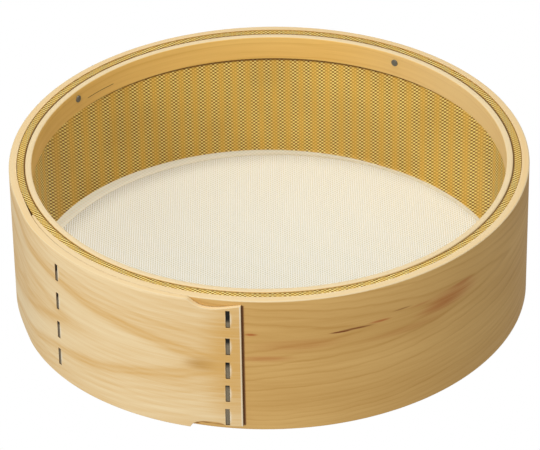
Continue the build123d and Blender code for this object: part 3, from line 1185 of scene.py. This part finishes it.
class SIEVE_OT_staples(bpy.types.Operator):
    """Make one flat-wire staple and copy it to every slot"""
    bl_idname = "sieve.staples"
    bl_label = "Staples"

    def execute(self, context):
        look = settings("sieve_steel")
        hoop = settings("sieve_hoop")
        pattern = self.make_pattern(look)
        finish = steel_finish("staple steel", look.steel, look.tarnish, "tarnish")
        for row, places in (("front", front_staples), ("rear", rear_staples)):
            for number, (angle, height, dark) in enumerate(places, start=1):
                staple = copy_of(pattern, f"{row}_staple_{number}")
                sunk = outer_layer_radius(angle, hoop.thickness) - crown_sink
                lean = math.atan2(deeper_end, look.crown_length) if dark > 0.2 else 0.0
                if lean:
                    sunk -= deeper_middle
                place = (Matrix.Translation((0, 0, height * MM)) @ Matrix.Rotation(math.radians(angle), 4, "Z")
                         @ Matrix.Translation((sunk, 0, 0)) @ Matrix.Rotation(-lean, 4, "Y"))
                # Painted shadow: the crown's top share darkened where it lies deep in its slot.
                shade = staple.data.attributes.new("tarnish", "FLOAT", "POINT")
                for vertex in staple.data.vertices:
                    share = vertex.co.z / look.crown_length + 0.5
                    amount = (share - 1.0 + dark) / 0.12 + 0.5
                    shade.data[vertex.index].value = min(1.0, max(0.0, amount)) if dark else 0.0
                staple.data.transform(place)
                smooth_piece(staple, 30)
                dress(staple, [f"{row}_lap_staple_{number}"], [finish])
        bpy.data.objects.remove(pattern, do_unlink=True)
        return {"FINISHED"}

    def make_pattern(self, look):
        """Crown with two bent legs, its outer face on the YZ plane and its legs towards -X."""
        thick, wide, long = look.wire_thickness, look.wire_width, look.crown_length
        deselect_everything()
        bpy.ops.mesh.primitive_cube_add(size=1, location=(-thick / 2, 0, 0), scale=(thick, wide, long))
        crown = new_shape("staple pattern")
        apply_place(crown)
        edit(crown)
        for direction in (1, -1):
            select_none()
            pick(crown, "faces", lambda face: face.normal.z * direction > 0.9
                 and face.calc_center_median().z * direction > long / 2 - 0.01 * MM)
            bpy.ops.transform.translate(value=(0, 0, -direction * thick))
            extrude((0, 0, direction * thick))
            select_none()
            pick(crown, "faces", lambda face: face.normal.x < -0.9
                 and face.calc_center_median().z * direction > long / 2 - thick)
            extrude((-leg_length, 0, 0))
        select_none()
        bpy.ops.mesh.select_mode(type="EDGE")
        pick(crown, "edges", lambda edge: all(end.co.x > -0.01 * MM for end in edge.verts)
             and edge.calc_face_angle(0) > 0.5)
        bpy.ops.mesh.bevel(offset=0.22 * MM, segments=3, affect="EDGES", clamp_overlap=True)
        select_all()
        bpy.ops.mesh.bisect(plane_co=(0, 0, 0), plane_no=(0, 0, 1))
        for share in (-0.375, -0.25, -0.125, 0.125, 0.25, 0.375, 0.43):
            select_all()
            bpy.ops.mesh.bisect(plane_co=(0, 0, share * long), plane_no=(0, 0, 1))
        leave_edit()
        face_outwards(crown)
        require_closed(crown)
        return crown


class SIEVE_OT_nails(bpy.types.Operator):
    """Make one flat-headed nail and copy it round the ring"""
    bl_idname = "sieve.nails"
    bl_label = "Ring nails"

    def execute(self, context):
        look = settings("sieve_steel")
        deselect_everything()
        head_radius = look.head_diameter / 2
        bpy.ops.mesh.primitive_cylinder_add(vertices=32, radius=head_radius, depth=head_thickness,
                                            location=(0, 0, head_thickness / 2))
        pattern = new_shape("nail pattern")
        apply_place(pattern)
        edit(pattern)
        pick(pattern, "faces", lambda face: face.normal.z > 0.9)
        for share, rise in ((0.16, 0.02), (0.22, 0.03), (0.22, 0.02)):
            bpy.ops.mesh.inset(thickness=head_radius * share, depth=rise * MM)
        select_none()
        bpy.ops.mesh.select_mode(type="EDGE")
        pick(pattern, "edges", lambda edge: len(edge.link_faces) == 2 and edge.calc_face_angle(0) > 1.0
             and edge.verts[0].co.z > head_thickness - 2 * touch)
        bpy.ops.mesh.bevel(offset=0.2 * MM, segments=3, affect="EDGES", clamp_overlap=True)
        bpy.ops.mesh.select_mode(type="FACE")
        select_none()
        pick(pattern, "faces", lambda face: face.normal.z < -0.9)
        bpy.ops.mesh.inset(thickness=head_radius - shank_radius, depth=0)
        extrude((0, 0, -shank_length))
        leave_edit()
        face_outwards(pattern)
        require_closed(pattern)
        finish = steel_finish("nail steel", look.nail, linear(40, 40, 38), "")
        seat = ring_outer_radius - settings("sieve_ring").thickness - nail_seat_gap
        for number, angle in enumerate(nail_angles, start=1):
            nail = copy_of(pattern, f"nail_{number}")
            nail.data.transform(
                Matrix.Rotation(math.radians(angle), 4, "Z") @ Matrix.Translation((seat, 0, nail_height))
                @ Matrix.Rotation(-math.pi / 2, 4, "Y"))
            smooth_piece(nail, 40)
            dress(nail, [f"ring_nail_{number}"], [finish])
        bpy.data.objects.remove(pattern, do_unlink=True)
        return {"FINISHED"}


class SIEVE_OT_stage(bpy.types.Operator):
    """Set up the camera, the floor and the studio light"""
    bl_idname = "sieve.stage"
    bl_label = "Stage"

    def execute(self, context):
        look = settings("sieve_stage")
        self.place_camera(context)
        deselect_everything()
        bpy.ops.mesh.primitive_plane_add(size=12, location=(0, 0, 0))
        floor = new_shape("floor")
        material = bpy.data.materials.new("floor paper")
        material.use_nodes = True
        tree = material.node_tree
        tree.nodes.clear()
        output = tree.nodes.new("ShaderNodeOutputMaterial")
        glow = tree.nodes.new("ShaderNodeEmission")
        glow.inputs["Color"].default_value = look.floor
        seen = tree.nodes.new("ShaderNodeLightPath").outputs["Is Camera Ray"]
        feed(tree, glow.inputs["Strength"], scaled(tree, seen, 1.0 - look.bounce, look.bounce))
        tree.links.new(glow.outputs[0], output.inputs["Surface"])
        floor.data.materials.append(material)
        world = bpy.data.worlds.new("studio")
        world.use_nodes = True
        background = world.node_tree.nodes["Background"]
        background.inputs["Color"].default_value = (1.0, 1.0, 1.0, 1.0)
        background.inputs["Strength"].default_value = look.ambient
        context.scene.world = world
        self.add_light("key light", (-1.01, -1.75, 0.75), 1.0, look.key)
        self.add_light("top light", (-0.1, 0.15, 2.2), 0.5, look.top)
        context.scene.view_settings.view_transform = "Standard"
        context.scene.view_settings.look = "None"
        return {"FINISHED"}

    def place_camera(self, context):
        """Camera at the photograph's place, aimed by a small pitch, yaw and roll off the drum's foot."""
        distance, elevation = 2.1, 0.59033
        pitch, yaw, roll = 0.01527, -0.00004, -0.01661
        place = Vector((0, -distance * math.cos(elevation), distance * math.sin(elevation)))
        forward = -place.normalized()
        right = Vector((1, 0, 0))
        up = right.cross(forward)
        forward = forward * math.cos(pitch) + up * math.sin(pitch)
        forward = forward * math.cos(yaw) + right * math.sin(yaw)
        level = forward.cross(right.cross(forward)).normalized()
        above = level.cross(forward)
        across = level * math.cos(roll) + above * math.sin(roll)
        above = across.cross(forward)
        turn = Matrix((across, above, -forward)).transposed().to_4x4()
        camera = bpy.data.cameras.new("photo camera")
        camera.lens = 237.37
        camera.sensor_width = 36.0
        holder = bpy.data.objects.new("photo camera", camera)
        holder.matrix_world = Matrix.Translation(place) @ turn
        context.scene.collection.objects.link(holder)
        context.scene.camera = holder

    def add_light(self, name, place, size, power):
        """Square area light that looks at the drum."""
        light = bpy.data.lights.new(name, "AREA")
        light.size = size
        light.energy = power
        holder = bpy.data.objects.new(name, light)
        holder.location = place
        holder.rotation_euler = (Vector((0, 0, 0.04)) - Vector(place)).to_track_quat("-Z", "Y").to_euler()
        bpy.context.scene.collection.objects.link(holder)


class SIEVE_PT_panel(bpy.types.Panel):
    """Buttons and settings for the sieve"""
    bl_idname = "SIEVE_PT_panel"
    bl_label = "Tamis drum sieve"
    bl_space_type = "VIEW_3D"
    bl_region_type = "UI"
    bl_category = "Sieve"

    def draw(self, context):
        for operator in operators:
            self.layout.operator(operator.bl_idname)
        for name, group in setting_groups.items():
            box = self.layout.box()
            box.label(text=name.replace("sieve_", "").capitalize())
            for key in group.__annotations__:
                box.prop(getattr(context.scene, name), key)


setting_groups = {
    "sieve_hoop": SieveHoopSettings,
    "sieve_ring": SieveRingSettings,
    "sieve_cloth": SieveClothSettings,
    "sieve_steel": SieveSteelSettings,
    "sieve_stage": SieveStageSettings,
}
operators = [SIEVE_OT_stage, SIEVE_OT_finishes, SIEVE_OT_hoop, SIEVE_OT_ring, SIEVE_OT_backing,
             SIEVE_OT_cloth, SIEVE_OT_staples, SIEVE_OT_nails]


def register():
    """Add the settings, the operators and the panel."""
    for name, group in setting_groups.items():
        bpy.utils.register_class(group)
        setattr(bpy.types.Scene, name, bpy.props.PointerProperty(type=group))
    for operator in operators:
        bpy.utils.register_class(operator)
    bpy.utils.register_class(SIEVE_PT_panel)


def unregister():
    """Take them away again."""
    bpy.utils.unregister_class(SIEVE_PT_panel)
    for operator in reversed(operators):
        bpy.utils.unregister_class(operator)
    for name, group in setting_groups.items():
        delattr(bpy.types.Scene, name)
        bpy.utils.unregister_class(group)


def main():
    """Build every piece."""
    register()
    bpy.ops.sieve.stage()
    bpy.ops.sieve.finishes()
    bpy.ops.sieve.hoop()
    bpy.ops.sieve.ring()
    bpy.ops.sieve.backing()
    bpy.ops.sieve.cloth()
    bpy.ops.sieve.staples()
    bpy.ops.sieve.nails()


if __name__ == "__main__":
    main()
